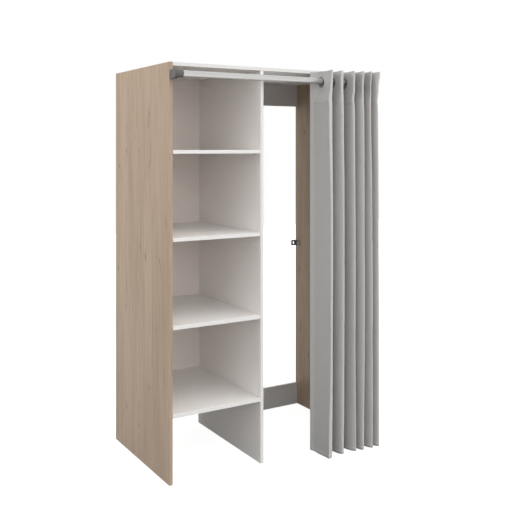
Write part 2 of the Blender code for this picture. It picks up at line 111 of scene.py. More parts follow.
# How far the cloth swells to the left of an eyelet, as a share of the spacing before that eyelet
SWELL_SHARES = {2: 0.15, 4: 0.20, 6: 0.42, 8: 0.44, 10: 0.24}

# How far the cloth ripples, and stands up at the top right, at its tips and at the free edge's hem
SLOW_RIPPLE, QUICK_RIPPLE = 0.0016, 0.0006
RIGHT_RISE, TIP_RISE, HEM_RISE = 0.005, 0.003, 0.006

# The leading edge of the cloth in plan, and how flat its panel hangs
FREE_EDGE = Vector((RINGS[0] - LEADING_FLAP, ROD_Y + BACK_REACH))
LEADING_PULL = 0.72
LEADING_BELLY = 0.004

# How far the front tips move to the right, in millimetres, and their reach, by height above the floor
TIP_HEIGHTS = (0.005, 0.50, 1.10, 1.58, 1.625, 1.655, 1.72, 1.7913)
TIP_SHIFTS = (
    (-16, -4, -2, -12, -12, -15, -6, 2),
    (-5, 0, 4, -2, -3, -5, -10, -8),
    (6, 0, 0, -5, -7, -13, -5, -3),
    (-9, 2, 2, -1, -4, -7, -11, 0),
    (5, 5, 4, -7, -8, -8, -8, 0),
    (0, 0, 0, -4, -5, -7, -1, 8),
)
REACH_SHARES = (1.03, 1.015, 1.0, 0.99, 0.99, 0.98, 0.985, 0.985)

# Eyelet rings, the hole that the cloth leaves under them, and the stitches
RING_BORE = 0.019
RING_BARREL = 0.0205
RING_RIM = 0.0265
RING_FACE = 0.0027
CLOTH_HOLE = 0.0232
STITCH_SIZES = {"Spacing": 0.0042, "Stitch Length": 0.0032, "Thread Thickness": 0.00055}

# Boards: the light and dark of the oak, the right panel's darker as painted shade, and how far painted
# shade darkens each board's front face
OAK_TONES_AND_SHADE = {
    "left_side_panel": ((0.522, 0.398, 0.290, 1), (0.385, 0.275, 0.189, 1)),
    # The right panel's tones are the left panel's made about 7 % darker: painted shade.
    "right_side_panel": ((0.487, 0.370, 0.269, 1), (0.358, 0.255, 0.175, 1)),
}
OAK_FRONT_SHADE, WHITE_FRONT_SHADE, TOP_FRONT_SHADE = 0.83, 0.82, 0.72
WHITE_BOARDS = (
    "partition", "top_panel", "bottom_shelf", "shelf_1", "shelf_2", "shelf_3",
    "lower_rear_rail", "upper_rear_rail",
)

# The oak's short dashes and pores, its knots and the pale ring round them, and where an edge is worn
DASH_TONE = (0.215, 0.165, 0.125, 1)
PORE_TONE = (0.10, 0.065, 0.04, 1)
KNOT_TONE = (0.14, 0.105, 0.078, 1)
HALO_TONE = (0.37, 0.265, 0.19, 1)
WORN_OAK = (0.70, 0.57, 0.45, 1)
WHITE_SEAM = (0.60, 0.58, 0.55, 1)

# Knots and checks in millimetres: distance back, height, half width and half length of the dark core
LEFT_PANEL_KNOTS = (
    (-34.5, 1585.3, 4.5, 16), (-33.0, 1545.0, 1.8, 30), (235.3, 1419.0, 4.0, 9),
    (81.1, 1414.8, 3.0, 8), (-40.1, 1357.2, 2.2, 26), (326.6, 1345.6, 4.0, 7),
    (-217.1, 1112.5, 2.4, 28), (63.4, 979.5, 2.0, 18), (4.1, 940.7, 4.8, 16),
    (340.0, 846.9, 4.0, 8), (241.7, 678.2, 3.0, 8), (-149.2, 941.6, 2.6, 10),
    (-119.3, 635.6, 2.4, 12), (-39.0, 360.2, 3.0, 10), (234.0, 202.5, 3.6, 9),
    (81.1, 158.3, 3.0, 8),
)
RIGHT_PANEL_KNOTS = (
    (290, 1520, 4.0, 14), (70, 1330, 3.0, 10), (-120, 1210, 2.2, 24), (190, 1050, 4.0, 12),
    (330, 760, 2.8, 16), (20, 640, 4.4, 12), (-170, 430, 3.0, 9), (250, 300, 3.6, 10),
)
KNOT_WIDER, KNOT_LONGER = 1.35, 1.25

# Soft light of the room: how much comes from each side
ROOM_LIGHT = (
    ((-1.0, -1.0, 0.1), 1.55),
    ((1.0, -1.0, 0.1), 1.32),
    ((1.0, 0.0, 0.1), 1.9),
    ((1.0, -1.0, 1.2), 0.80),
    ((0.0, 1.0, 0.2), 0.55),
)


# Node trees


class Recipe:
    """Adds nodes to one tree, with each input given a value or joined to another node."""

    def __init__(self, tree):
        self.tree = tree

    def give(self, socket, value):
        """Sets a socket, or joins it to another socket or to a node's first output."""
        if isinstance(value, bpy.types.Node):
            value = value.outputs[0]
        if isinstance(value, bpy.types.NodeSocket):
            self.tree.links.new(value, socket)
        else:
            socket.default_value = value

    def add(self, kind, inputs=None, **settings):
        """A new node. A kind that doesn't name its family is a shader node."""
        node = self.tree.nodes.new(kind if "Node" in kind else "ShaderNode" + kind)
        for name, value in settings.items():
            setattr(node, name, value)
        for key, value in (inputs or {}).items():
            self.give(node.inputs[key], value)
        return node

    def maths(self, operation, *values, clamp=False):
        inputs = dict(enumerate(values))
        return self.add("Math", inputs, operation=operation, use_clamp=clamp)

    def vector(self, operation, *values):
        return self.add("VectorMath", dict(enumerate(values)), operation=operation)

    def stretch(self, place, by):
        return self.vector("MULTIPLY", place, by)

    def scaled(self, value, level):
        inputs = {0: value, "Scale": level}
        return self.add("VectorMath", inputs, operation="SCALE")

    def split(self, value):
        return self.add("SeparateXYZ", {0: value}).outputs

    def combined(self, *values):
        return self.add("CombineXYZ", dict(enumerate(values)))

    def noise(self, place, scale, detail=2.0, rough=0.5):
        inputs = {"Vector": place, "Scale": scale, "Detail": detail, "Roughness": rough}
        return self.add("TexNoise", inputs)

    def spread(self, value, low, high, start=0.0, end=1.0):
        inputs = {"Value": value, "From Min": low, "From Max": high, "To Min": start, "To Max": end}
        return self.add("MapRange", inputs, interpolation_type="SMOOTHSTEP")

    def blend(self, share, first, second, kind="MIX"):
        inputs = {0: share, 6: first, 7: second}
        return self.add("Mix", inputs, data_type="RGBA", blend_type=kind).outputs[2]


def make_group(fill, inputs):
    """A node group with named sockets. An input's first value also tells its kind, and the function that
    fills the group in takes the inputs and gives back the outputs by name."""
    group = bpy.data.node_groups.new(fill.__name__, "ShaderNodeTree")

    def add_socket(label, way, kind):
        return group.interface.new_socket(label, in_out=way, socket_type="NodeSocket" + kind)

    for label, value in inputs.items():
        kind = "Float" if isinstance(value, float) else "Vector" if len(value) == 3 else "Color"
        add_socket(label, "INPUT", kind).default_value = value
    given = group.nodes.new("NodeGroupInput").outputs
    recipe = Recipe(group)
    made = fill(recipe, *[given[label] for label in inputs])
    for label in made:
        add_socket(label, "OUTPUT", "Color" if label == "Color" else "Float")
    result = group.nodes.new("NodeGroupOutput").inputs
    for label, value in made.items():
        recipe.give(result[label], value)
    return group


def wood_grain(recipe, place, light, dark, per_metre, pore_strength, dash_strength):
    """Straight grain along Z: broad tones, streaks, fibres and short pores."""
    drift = recipe.noise(recipe.stretch(place, (1, 1, 0.8)), 2.2).outputs["Color"]
    wavy = recipe.vector("ADD", place, recipe.stretch(drift, (0.03, 0.03, 0.0)))
    streak_place = recipe.stretch(wavy, recipe.combined(per_metre, per_metre, 1.7))
    streaks = recipe.noise(streak_place, 1.0, 5.0, 0.6)
    fibres = recipe.noise(recipe.stretch(streak_place, (5, 5, 4)), 1.0, 3.0, 0.6)
    broad = recipe.noise(recipe.stretch(wavy, (9, 9, 0.9)), 1.0, 2.0)
    pore_noise = recipe.noise(recipe.stretch(streak_place, (11, 11, 17)), 1.0, 1.0)
    pores = recipe.spread(pore_noise, 0.62, 0.74)
    tone = recipe.maths("MULTIPLY", streaks, 0.5)
    tone = recipe.maths("MULTIPLY_ADD", fibres, 0.22, tone)
    tone = recipe.maths("MULTIPLY_ADD", broad, 0.4, tone)
    colour = recipe.blend(recipe.spread(tone, 0.40, 0.76), light, dark)
    dash_noise = recipe.noise(recipe.stretch(streak_place, (0.75, 0.75, 3.4)), 1.0, 3.0, 0.6)
    dashes = recipe.maths("MULTIPLY", recipe.spread(dash_noise, 0.56, 0.74), dash_strength)
    colour = recipe.blend(dashes, colour, DASH_TONE)
    colour = recipe.blend(recipe.maths("MULTIPLY", pores, pore_strength), colour, PORE_TONE)
    return {"Color": colour, "Height": recipe.maths("SUBTRACT", fibres, pores)}


def wood_knot(recipe, place, centre, width, length):
    """One long dark knot or check with a paler halo, as masks from 0 to 1."""
    ragged = recipe.noise(place, 160.0).outputs["Color"]
    pushed = recipe.vector("MULTIPLY_ADD", ragged, (0, 0.004, 0.006), (0, -0.002, -0.003))
    apart = recipe.split(recipe.vector("SUBTRACT", recipe.vector("ADD", place, pushed), centre))
    across = recipe.maths("DIVIDE", apart[1], width)
    along = recipe.maths("DIVIDE", apart[2], length)
    distance = recipe.vector("LENGTH", recipe.combined(across, along)).outputs["Value"]
    core = recipe.spread(distance, 0.25, 1.0, 1.0, 0.0)
    return {"Core": core, "Halo": recipe.spread(distance, 0.6, 3.2, 1.0, 0.0)}


def board_edges(recipe, place, low, high, width):
    """A mask that rises to 1 at the edges of a board, from its low and high corners."""
    wander = recipe.noise(place, 55.0, 3.0)
    above = recipe.vector("SUBTRACT", place, low)
    below = recipe.vector("SUBTRACT", high, place)
    nearest = recipe.split(recipe.vector("MINIMUM", above, below))
    least = recipe.maths("MINIMUM", nearest[0], nearest[1])
    most = recipe.maths("MAXIMUM", nearest[0], nearest[1])
    middle_one = recipe.maths("MAXIMUM", least, recipe.maths("MINIMUM", most, nearest[2]))
    reach = recipe.maths("MULTIPLY", width, recipe.maths("ADD", wander, 0.5))
    return {"Edge": recipe.spread(recipe.maths("DIVIDE", middle_one, reach), 0.0, 1.0, 1.0, 0.0)}


def surface_speckle(recipe, place, colour, grains, cloudiness, speckle):
    """Fine grain and slow cloudiness of a pressed, moulded or painted surface."""
    fine = recipe.noise(place, grains, 2.0, 0.6)
    cloud = recipe.noise(place, 5.0, 3.0)
    smudge = recipe.noise(recipe.stretch(place, (1, 1, 0.6)), 22.0, 4.0, 0.65)
    shade = recipe.maths("MULTIPLY", recipe.maths("SUBTRACT", cloud, 0.5), cloudiness)
    grit = recipe.maths("MULTIPLY", recipe.maths("SUBTRACT", fine, 0.5), speckle)
    level = recipe.maths("ADD", recipe.maths("ADD", shade, grit), 1.0)
    rough_change = recipe.maths("SUBTRACT", smudge, 0.5)
    return {"Color": recipe.scaled(colour, level), "Height": fine, "Rough Change": rough_change}


def plain_weave(recipe, place, colour, thread_width, slubs, depth):
    """Plain weave on a UV map in metres, with thicker and thinner threads both ways, and painted shade
    in the hollows between threads.
    """
    split = recipe.split(place)
    across, along = (recipe.maths("DIVIDE", split[way], thread_width) for way in (0, 1))
    cell = recipe.maths("ADD", recipe.maths("FLOOR", across), recipe.maths("FLOOR", along))
    is_weft = recipe.maths("PINGPONG", cell, 1.0)
    warp_hump, weft_hump = (
        recipe.maths("SINE", recipe.maths("MULTIPLY", recipe.maths("FRACT", way), math.pi))
        for way in (across, along)
    )
    warp = recipe.maths("MULTIPLY", warp_hump, recipe.maths("SUBTRACT", 1.0, is_weft))
    height = recipe.maths("MULTIPLY_ADD", weft_hump, is_weft, warp)
    warp_slub = recipe.noise(recipe.stretch(place, (520, 9, 1)), 1.0, 2.0)
    weft_slub = recipe.noise(recipe.stretch(place, (9, 520, 1)), 1.0, 2.0)
    slub = recipe.maths("SUBTRACT", recipe.maths("ADD", warp_slub, weft_slub), 1.0)
    level = recipe.maths("MULTIPLY_ADD", slub, slubs, 1.0)
    # Painted shade and light: darker in the hollows between threads, lighter on their tops.
    hollow_shade = recipe.maths("MULTIPLY", recipe.maths("SUBTRACT", height, 0.6), depth)
    woven = recipe.scaled(colour, recipe.maths("ADD", level, hollow_shade))
    return {"Color": woven, "Height": recipe.maths("MULTIPLY_ADD", slub, 0.8, height)}


def drawn_metal(recipe, place, stretch, roughness, spread):
    """Drawn or brushed metal: fine lines along one way, as roughness and height."""
    lines = recipe.noise(recipe.stretch(place, stretch), 1.0, 3.0, 0.6)
    handled = recipe.noise(place, 30.0, 3.0, 0.6)
    change = recipe.maths("SUBTRACT", recipe.maths("ADD", lines, handled), 1.0)
    rough = recipe.maths("MULTIPLY_ADD", change, spread, roughness)
    tone = recipe.maths("MULTIPLY_ADD", change, 0.12, 1.0)
    return {"Roughness": rough, "Height": lines, "Tone": tone}


# What each group takes in, with a first value that shows its kind
PLACE, TONE = (0, 0, 0), (0.5, 0.5, 0.5, 1)
GRAIN_INPUTS = {"Vector": PLACE, "Light Colour": TONE, "Dark Colour": TONE, "Streaks per Metre": 70.0}
GRAIN_INPUTS |= {"Pore Strength": 0.2, "Dash Strength": 0.4}
KNOT_INPUTS = {"Vector": PLACE, "Centre": PLACE, "Width": 0.004, "Length": 0.02}
EDGE_INPUTS = {"Vector": PLACE, "Low": PLACE, "High": (1, 1, 1), "Width": 0.002}
SPECKLE_INPUTS = {"Vector": PLACE, "Colour": TONE, "Grains per Metre": 900.0}
SPECKLE_INPUTS |= {"Cloudiness": 0.03, "Speckle": 0.03}
WEAVE_INPUTS = {"UV": PLACE, "Colour": TONE, "Thread Width": 0.0009, "Slub": 0.10, "Depth": 0.25}
METAL_INPUTS = {"Vector": PLACE, "Stretch": (4, 900, 900), "Roughness": 0.3, "Spread": 0.15}
GROUPS = {
    "grain": make_group(wood_grain, GRAIN_INPUTS),
    "knot": make_group(wood_knot, KNOT_INPUTS),
    "edges": make_group(board_edges, EDGE_INPUTS),
    "speckle": make_group(surface_speckle, SPECKLE_INPUTS),
    "weave": make_group(plain_weave, WEAVE_INPUTS),
    "drawn": make_group(drawn_metal, METAL_INPUTS),
}


# Materials


def start_material(name, **constants):
    """A material's recipe, its shader and Object coordinates."""
    material = bpy.data.materials.new(name)
    material.use_nodes = True
    recipe = Recipe(material.node_tree)
    shader = material.node_tree.nodes["Principled BSDF"].inputs
    for label, value in constants.items():
        shader[label.replace("_", " ").title()].default_value = value
    place = recipe.add("TexCoord").outputs["Object"]
    return material, recipe, shader, place


def placed(recipe, key, **inputs):
    """Places a shared group. Its input names are written with _ for a space."""
    node = recipe.add("Group", node_tree=GROUPS[key])
    for label, value in inputs.items():
        recipe.give(node.inputs[label.replace("_", " ")], value)
    return node.outputs


def join_bump(recipe, shader, height, strength, distance):
    inputs = {"Height": height, "Strength": strength, "Distance": distance}
    recipe.give(shader["Normal"], recipe.add("Bump", inputs))


def edges_and_front_shade(recipe, place, colour, node, width, worn, tone, front_shade):
    """Marks the edges of a board, and darkens its front face with painted shade."""
    low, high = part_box(node)
    edges = placed(recipe, "edges", Vector=place, Low=low, High=high, Width=width)
    colour = recipe.blend(recipe.maths("MULTIPLY", edges["Edge"], worn), colour, tone)
    back = recipe.split(place)[1]
    # Painted shade: the front face is made darker than the rest of the board.
    painted_front_shade_mask = recipe.spread(back, low[1] + 0.0006, low[1] + 0.0012, 1.0, 0.0)
    return recipe.blend(painted_front_shade_mask, colour, (front_shade, front_shade, front_shade, 1), "MULTIPLY")


def oak_decor(node, knots, shift):
    """Light oak decor with upright grain. The shift keeps the two panels from matching."""
    material, recipe, shader, place = start_material("oak_decor_" + node, roughness=0.55)
    # The right panel's darker tones are painted shade.
    light, dark = OAK_TONES_AND_SHADE[node]
    moved = recipe.vector("ADD", place, shift)
    tones = {"Light_Colour": light, "Dark_Colour": dark, "Streaks_per_Metre": 70.0}
    grain = placed(recipe, "grain", Vector=moved, **tones, Pore_Strength=0.20, Dash_Strength=0.42)
    colour = grain["Color"]
    for knot in knots:
        back, height, width, length = (size / 1000 for size in knot)
        centre = (0, back, height)
        width, length = KNOT_WIDER * width, KNOT_LONGER * length
        mark = placed(recipe, "knot", Vector=place, Centre=centre, Width=width, Length=length)
        colour = recipe.blend(recipe.maths("MULTIPLY", mark["Halo"], 0.52), colour, HALO_TONE)
        colour = recipe.blend(recipe.maths("MULTIPLY", mark["Core"], 0.85), colour, KNOT_TONE)
    # Worn edges, and painted shade on the front face.
    colour = edges_and_front_shade(recipe, place, colour, node, 0.0016, 0.20, WORN_OAK, OAK_FRONT_SHADE)
    recipe.give(shader["Base Color"], colour)
    join_bump(recipe, shader, grain["Height"], 0.18, 0.0004)
    return material


def speckled(name, colour, grain, rough, bump, finish=None):
    """A finely grained surface. The grain is grains per metre, cloudiness and speckle, the roughness
    comes with how much it changes, and the bump with its depth. The finish may change the colour."""
    material, recipe, shader, place = start_material(name)
    grains = dict(zip(("Grains_per_Metre", "Cloudiness", "Speckle"), grain))
    surface = placed(recipe, "speckle", Vector=place, Colour=colour, **grains)
    tinted = finish(recipe, place, surface["Color"]) if finish else surface["Color"]
    recipe.give(shader["Base Color"], tinted)
    level, change = rough
    if change:
        level = recipe.maths("MULTIPLY_ADD", surface["Rough Change"], change, level)
    recipe.give(shader["Roughness"], level)
    join_bump(recipe, shader, surface["Height"], *bump)
    return material


def white_decor(node):
    """White melamine with a pearl grain, the joint lines of its edge banding, and painted shade on its
    front face.
    """

    # The top panel's front face gets deeper painted shade than the other boards'.
    front_shade = TOP_FRONT_SHADE if node == "top_panel" else WHITE_FRONT_SHADE

    def finish(recipe, place, colour):
        return edges_and_front_shade(recipe, place, colour, node, 0.0014, 0.14, WHITE_SEAM, front_shade)

    white = (0.925, 0.912, 0.90, 1)
    name = "white_decor_" + node
    return speckled(name, white, (1100.0, 0.03, 0.035), (0.48, 0.12), (0.10, 0.0002), finish)


def hardboard():
    """White painted hardboard, with the soft dimples of its rolled face. Its colour is tinted warm as
    painted light, for light bounced off the oak into the bays.
    """
    paint_and_bounce_tint = (0.875, 0.815, 0.777, 1)
    return speckled("painted_hardboard", paint_and_bounce_tint, (420.0, 0.05, 0.05), (0.6, 0.15), (0.15, 0.0004))


def moulded_plastic():
    """Dark grey plastic with a spark-eroded grain."""
    grey = (0.096, 0.094, 0.091, 1)
    return speckled("bracket_plastic", grey, (1500.0, 0.10, 0.22), (0.52, 0.2), (0.30, 0.0002))


def sewing_thread():
    """Twisted thread, a little paler than the cloth."""
    pale = (0.60, 0.595, 0.58, 1)
    return speckled("sewing_thread", pale, (2500.0, 0.05, 0.25), (0.75, 0), (0.3, 0.0001))


def metal(name, colour, roughness, spread, stretch, metallic):
    """Metal with drawn lines. Stretch says how many of them there are to the metre each way."""
    material, recipe, shader, place = start_material(name, metallic=metallic)
    drawn = placed(recipe, "drawn", Vector=place, Stretch=stretch, Roughness=roughness, Spread=spread)
    recipe.give(shader["Base Color"], recipe.scaled(colour, drawn["Tone"]))
    recipe.give(shader["Roughness"], drawn["Roughness"])
    join_bump(recipe, shader, drawn["Height"], 0.1, 0.0001)
    return material


def woven_cloth(name, colour, thread, slub):
    """Plain grey woven polyester, on the cloth's own UV map in metres, with painted shade along its
    folded bottom edge.
    """
    constants = {"roughness": 0.9, "sheen_weight": 0.25, "sheen_roughness": 0.45}
    material, recipe, shader, _ = start_material(name, **constants)
    shader["Specular IOR Level"].default_value = 0.25
    uv = recipe.add("UVMap", uv_map="cloth_uv").outputs[0]
    weave = placed(recipe, "weave", UV=uv, Colour=colour, Thread_Width=thread, Slub=slub, Depth=0.22)
    height = recipe.split(uv)[1]
    from_seam = recipe.maths("ABSOLUTE", recipe.maths("SUBTRACT", height, BOTTOM_SEAM))
    seam_line = recipe.spread(from_seam, 0.0020, 0.0045, 1.10, 1.0)
    # Painted shade: the lowest few millimetres, where the hem turns under, are darkened.
    folded_edge_shade = recipe.spread(height, CLOTH_BOTTOM + 0.004, CLOTH_BOTTOM + 0.007, 0.72, 1.0)
    level = recipe.maths("MULTIPLY", seam_line, folded_edge_shade)
    recipe.give(shader["Base Color"], recipe.scaled(weave["Color"], level))
    join_bump(recipe, shader, weave["Height"], 0.35, 0.0003)
    return material


# Camera, light and floor


def linked(name, data):
    """A new object of this data, put in the scene."""
    obj = bpy.data.objects.new(name, data)
    bpy.context.scene.collection.objects.link(obj)
    return obj


def place_camera():
    """Upright two-point view, with the horizon at the camera's height."""
    data = bpy.data.cameras.new("front_left_camera")
    data.sensor_width = 36
    data.lens = 54.41
    data.shift_y = -0.2118
    camera = linked("front_left_camera", data)
    camera.location = (-1.9275, -3.2668, 1.4313)
    camera.rotation_euler = (math.radians(90), 0, math.radians(-31.153))
    bpy.context.scene.camera = camera


def place_softbox():
    """One softbox, high at the left."""
    data = bpy.data.lights.new("left_softbox", "AREA")
    data.shape = "RECTANGLE"
    data.size = 2.0
    data.size_y = 1.6
    data.energy = 36
    lamp = linked("left_softbox", data)
    lamp.location = (-3.0, 0.1, 2.9)
    way = Vector((-0.5, 0.0, 1.5)) - lamp.location
    lamp.rotation_euler = way.to_track_quat("-Z", "Y").to_euler()


def seen_directly(recipe):
    """1 where a ray comes from the camera, or through gloss or glass."""
    path = recipe.add("LightPath").outputs
    seen = recipe.maths("ADD", path["Is Camera Ray"], path["Is Glossy Ray"])
    return recipe.maths("ADD", seen, path["Is Transmission Ray"], clamp=True)


def light_the_room():
    """Light from the room's sides, plain white to the camera."""
    world = bpy.data.worlds.new("pale_room")
    world.use_nodes = True
    bpy.context.scene.world = world
    recipe = Recipe(world.node_tree)
    recipe.tree.nodes.clear()
    way = recipe.add("TexCoord").outputs["Generated"]
    level = 0.0
    for toward, strength in ROOM_LIGHT:
        facing = recipe.vector("DOT_PRODUCT", way, Vector(toward).normalized()).outputs["Value"]
        lobe = recipe.maths("POWER", recipe.maths("MAXIMUM", facing, 0.0), 2.0)
        level = recipe.maths("MULTIPLY_ADD", lobe, strength, level)
    sides = recipe.add("Background", {"Color": (1.0, 0.995, 0.985, 1), "Strength": level})
    white = recipe.add("Background", {"Color": (1, 1, 1, 1), "Strength": 1.0})
    mixed = recipe.add("MixShader", {0: seen_directly(recipe), 1: sides, 2: white})
    recipe.add("OutputWorld", {0: mixed})


def lay_floor():
    """A pale floor that keeps the wardrobe's soft shadow."""
    bm = bmesh.new()
    bmesh.ops.create_grid(bm, x_segments=1, y_segments=1, size=9)
    material = bpy.data.materials.new("pale_floor")
    material.use_nodes = True
    recipe = Recipe(material.node_tree)
    recipe.tree.nodes.clear()
    bounce = recipe.add("BsdfDiffuse", {"Color": (0.08, 0.079, 0.078, 1)})
    shadowed = recipe.add("BsdfDiffuse", {"Color": (0.34, 0.34, 0.34, 1)})
    place = recipe.add("TexCoord").outputs["Object"]
    away = recipe.vector("LENGTH", place).outputs["Value"]
    level = recipe.spread(away, 0.9, 2.3, 0.91, 1.0)
    glow = recipe.add("Emission", {"Color": (1, 1, 1, 1), "Strength": level})
    pale = recipe.add("AddShader", {0: shadowed, 1: glow})
    mixed = recipe.add("MixShader", {0: seen_directly(recipe), 1: bounce, 2: pale})
    recipe.add("OutputMaterial", {0: mixed})
    add_object("floor", bm, material)


# Making pieces


def add_object(name, bm, material, smooth_from=None):
    """Turns a bmesh into a named object. Edges sharper than smooth_from degrees stay crisp."""
    mesh = bpy.data.meshes.new(name)
    bm.to_mesh(mesh)
    bm.free()
    return link_mesh(name, mesh, material, smooth_from)


def link_mesh(name, mesh, material, smooth_from=None):
    obj = linked(name, mesh)
    if material is not None and not mesh.materials:
        mesh.materials.append(material)
    if smooth_from is not None:
        mesh.polygons.foreach_set("use_smooth", [True] * len(mesh.polygons))
        mesh.set_sharp_from_angle(angle=math.radians(smooth_from))
    return obj


def settled(obj, name, material=None, smooth_from=None):
    """The evaluated object as a plain mesh object. The one that it came from is removed."""
    graph = bpy.context.evaluated_depsgraph_get()
    mesh = bpy.data.meshes.new_from_object(obj.evaluated_get(graph))
    bpy.data.objects.remove(obj, do_unlink=True)
    mesh.name = name
    return link_mesh(name, mesh, material, smooth_from)


def cut_out(obj, cutters, name, material, smooth_from):
    """Takes the cutters out of an object, and keeps the plain result."""
    for cutter in cutters:
        cut = obj.modifiers.new(cutter.name, "BOOLEAN")
        cut.operation = "DIFFERENCE"
        cut.solver = "EXACT"
        cut.object = cutter
    done = settled(obj, name, material, smooth_from)
    for cutter in cutters:
        bpy.data.objects.remove(cutter, do_unlink=True)
    return done


def set_down(bm, place, degrees, axis):
    """Turns a shape about an axis, and then moves it to its place."""
    turn = Matrix.Rotation(math.radians(degrees), 4, axis)
    bm.transform(Matrix.Translation(place) @ turn)


def turned(profile, sides, closed=False):
    """Spins points of radius and height round Z, into a capped or a ring-shaped solid."""
    bm = bmesh.new()
    angles = [2 * math.pi * i / sides for i in range(sides)]
    rings = [
        [bm.verts.new((radius * math.cos(a), radius * math.sin(a), height)) for a in angles]
        for radius, height in profile
    ]
    pairs = list(zip(rings, rings[1:]))
    if closed:
        pairs.append((rings[-1], rings[0]))
    for low, high in pairs:
        for i in range(sides):
            j = (i + 1) % sides
            bm.faces.new((low[i], low[j], high[j], high[i]))
    if not closed:
        bm.faces.new(rings[0][::-1])
        bm.faces.new(rings[-1])
    bmesh.ops.recalc_face_normals(bm, faces=bm.faces)
    return bm


def extruded(outline, start, end):
    """A slab along X between start and end, from an outline of points in Y and Z."""
    bm = bmesh.new()
    near, far = ([bm.verts.new((x, y, z)) for y, z in outline] for x in (start, end))
    count = len(outline)
    for i in range(count):
        j = (i + 1) % count
        bm.faces.new((near[i], near[j], far[j], far[i]))
    bm.faces.new(near)
    bm.faces.new(far[::-1])
    bmesh.ops.recalc_face_normals(bm, faces=bm.faces)
    return bm


def arc(centre, radius, start, end, steps):
    """Points on a circle, by angles in degrees from the first axis towards the second."""
    points = []
    for i in range(steps + 1):
        angle = math.radians(start + (end - start) * i / steps)
        points.append((centre[0] + radius * math.cos(angle), centre[1] + radius * math.sin(angle)))
    return points


def joined(parts):
    """Several meshes as one."""
    whole = bmesh.new()
    for bm in parts:
        mesh = bpy.data.meshes.new("part")
        bm.to_mesh(mesh)
        bm.free()
        whole.from_mesh(mesh)
        bpy.data.meshes.remove(mesh)
    return whole


def ease_edges(obj, width):
    bevel = obj.modifiers.new("eased_edges", "BEVEL")
    bevel.width = width
    bevel.segments = 2
    bevel.limit_method = "ANGLE"
    bevel.angle_limit = math.radians(35)


# Geometry Nodes


def make_tree(name, inputs):
    """A geometry tree with named inputs that gives back geometry."""
    tree = bpy.data.node_groups.new(name, "GeometryNodeTree")
    tree.is_modifier = True
    tree.interface.new_socket("Geometry", in_out="OUTPUT", socket_type="NodeSocketGeometry")
    for label, kind in {"Geometry": "Geometry", **inputs}.items():
        tree.interface.new_socket(label, in_out="INPUT", socket_type="NodeSocket" + kind)
    given = tree.nodes.new("NodeGroupInput").outputs
    result = tree.nodes.new("NodeGroupOutput").inputs
    return Recipe(tree), given, result


def finish_tree(recipe, instances, material, result):
    real = recipe.add("GeometryNodeRealizeInstances", {0: instances})
    inputs = {"Geometry": real, "Material": material}
    recipe.give(result[0], recipe.add("GeometryNodeSetMaterial", inputs))
    return recipe.tree


def stitch_tree():
    """Stitches of one length along every line of a mesh of edges."""
    kinds = {label: "Float" for label in STITCH_SIZES}
    recipe, given, result = make_tree("stitch_row", {**kinds, "Material": "Material"})
    curve_line = recipe.add("GeometryNodeMeshToCurve", {0: given["Geometry"]})
    inputs = {"Curve": curve_line, "Length": given["Spacing"]}
    even = recipe.add("GeometryNodeResampleCurve", inputs, mode="LENGTH")
    tangent = recipe.add("GeometryNodeInputTangent")
    turn = recipe.add("FunctionNodeAlignRotationToVector", {"Vector": tangent}, axis="X")
    thick = given["Thread Thickness"]
    size = recipe.combined(given["Stitch Length"], thick, thick)
    bead = recipe.add("GeometryNodeMeshUVSphere", {"Segments": 6, "Rings": 4, "Radius": 0.5})
    stitch = recipe.add("GeometryNodeTransform", {"Geometry": bead, "Scale": size})
    inputs = {"Points": even, "Instance": stitch, "Rotation": turn}
    row = recipe.add("GeometryNodeInstanceOnPoints", inputs)
    smooth = recipe.add("GeometryNodeSetShadeSmooth", {0: row})
    return finish_tree(recipe, smooth, given["Material"], result)


def fastener_tree():
    """A copy of one fastener on each point, turned so that its axis lies along the point's facing."""
    inputs = {"Fastener": "Object", "Size": "Float", "Material": "Material"}
    recipe, given, result = make_tree("fasteners_in_place", inputs)
    shape = recipe.add("GeometryNodeObjectInfo", {"Object": given["Fastener"]}).outputs["Geometry"]
    facing = recipe.add("GeometryNodeInputNamedAttribute", {"Name": "facing"}, data_type="FLOAT_VECTOR")
    turn = recipe.add("FunctionNodeAlignRotationToVector", {"Vector": facing}, axis="Z")
    inputs = {"Points": given["Geometry"], "Instance": shape, "Rotation": turn, "Scale": given["Size"]}
    copies = recipe.add("GeometryNodeInstanceOnPoints", inputs)
    return finish_tree(recipe, copies, given["Material"], result)


def grown(name, mesh, tree, values, smooth_from=None):
    """Runs a geometry tree on a mesh, with its inputs by name, and keeps the plain result."""
    seed = linked(name + "_lines", mesh)
    modifier = seed.modifiers.new("grow", "NODES")
    modifier.node_group = tree
    for item in tree.interface.items_tree:
        if item.item_type == "SOCKET" and item.in_out == "INPUT" and item.name in values:
            modifier[item.identifier] = values[item.name]
    return settled(seed, name, None, smooth_from)


STITCHES = stitch_tree()
FASTENERS = fastener_tree()


# Boards


def dress_boards():
    """The flat boards are right as solids, so they keep their shapes and get their decor."""
    dressed = {
        "left_side_panel": oak_decor("left_side_panel", LEFT_PANEL_KNOTS, (0.0, 0.0, 0.0)),
        "right_side_panel": oak_decor("right_side_panel", RIGHT_PANEL_KNOTS, (0.31, 0.17, 0.83)),
        "back_panel": hardboard(),
    }
    for node in WHITE_BOARDS:
        dressed[node] = white_decor(node)
    for node, material in dressed.items():
        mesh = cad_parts[node].data
        mesh.materials.clear()
        mesh.materials.append(material)


# Rod, brackets and small fittings


def make_rod(material):
    inner = ROD_RADIUS - ROD_WALL
    length = ROD_HIGH.x - ROD_LOW.x
    rim = 0.0003
    profile = [
        (inner, rim), (inner + rim, 0), (ROD_RADIUS - rim, 0), (ROD_RADIUS, rim),
        (ROD_RADIUS, length - rim), (ROD_RADIUS - rim, length),
        (inner + rim, length), (inner, length - rim),
    ]
    bm = turned(profile, 96, closed=True)
    set_down(bm, (ROD_LOW.x, ROD_Y, ROD_Z), 90, "Y")
    rod = add_object("rod_tube", bm, material, 40)
    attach(rod, "root")
    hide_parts("curtain_rod")


